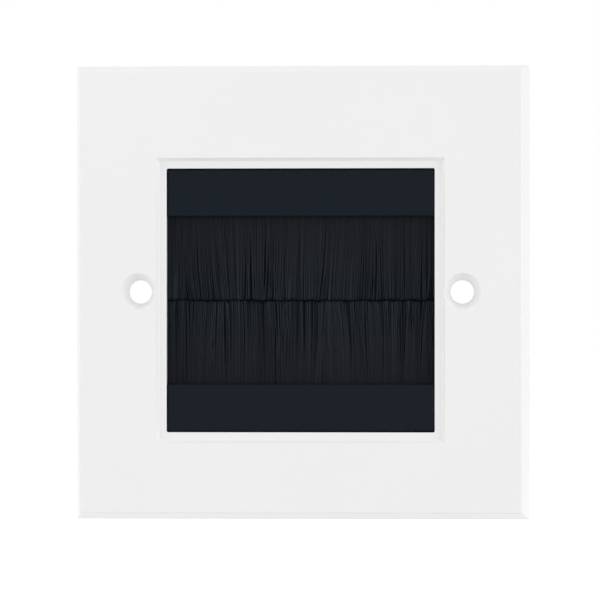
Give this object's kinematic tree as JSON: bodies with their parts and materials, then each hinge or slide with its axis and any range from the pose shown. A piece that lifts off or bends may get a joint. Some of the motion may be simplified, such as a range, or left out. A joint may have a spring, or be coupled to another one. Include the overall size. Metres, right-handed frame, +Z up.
{
  "type": "brush cable grommet",
  "caption": "Square white wall plate with countersunk fixing holes and a black insert whose facing rows of bristles close round the cables that pass through it.",
  "frame": {"origin": "halfway between the two fixing holes, in the plane where their bosses end, 4.5 mm behind the face and 4.5 mm in front of the wall", "axes": "X along the line of the fixing holes, to the right seen from the front; Z up; -Y out of the wall, the way the face looks and the fixing screws come out"},
  "size_m": [0.086, 0.009, 0.086],
  "materials": {
    "plate_white": "smooth satin-gloss moulded plastic",
    "frame_black": "finely textured black moulded plastic",
    "strip_steel": "plain galvanised strip and wire",
    "bristle_black": "black nylon filaments"
  },
  "bodies": {
    "root": {"face_plate": "plate_white", "brush_frame": "frame_black", "upper_channel": "strip_steel", "upper_core_wire": "strip_steel", "upper_bristles": "bristle_black", "lower_channel": "strip_steel", "lower_core_wire": "strip_steel", "lower_bristles": "bristle_black"}
  },
  "joints": []
}
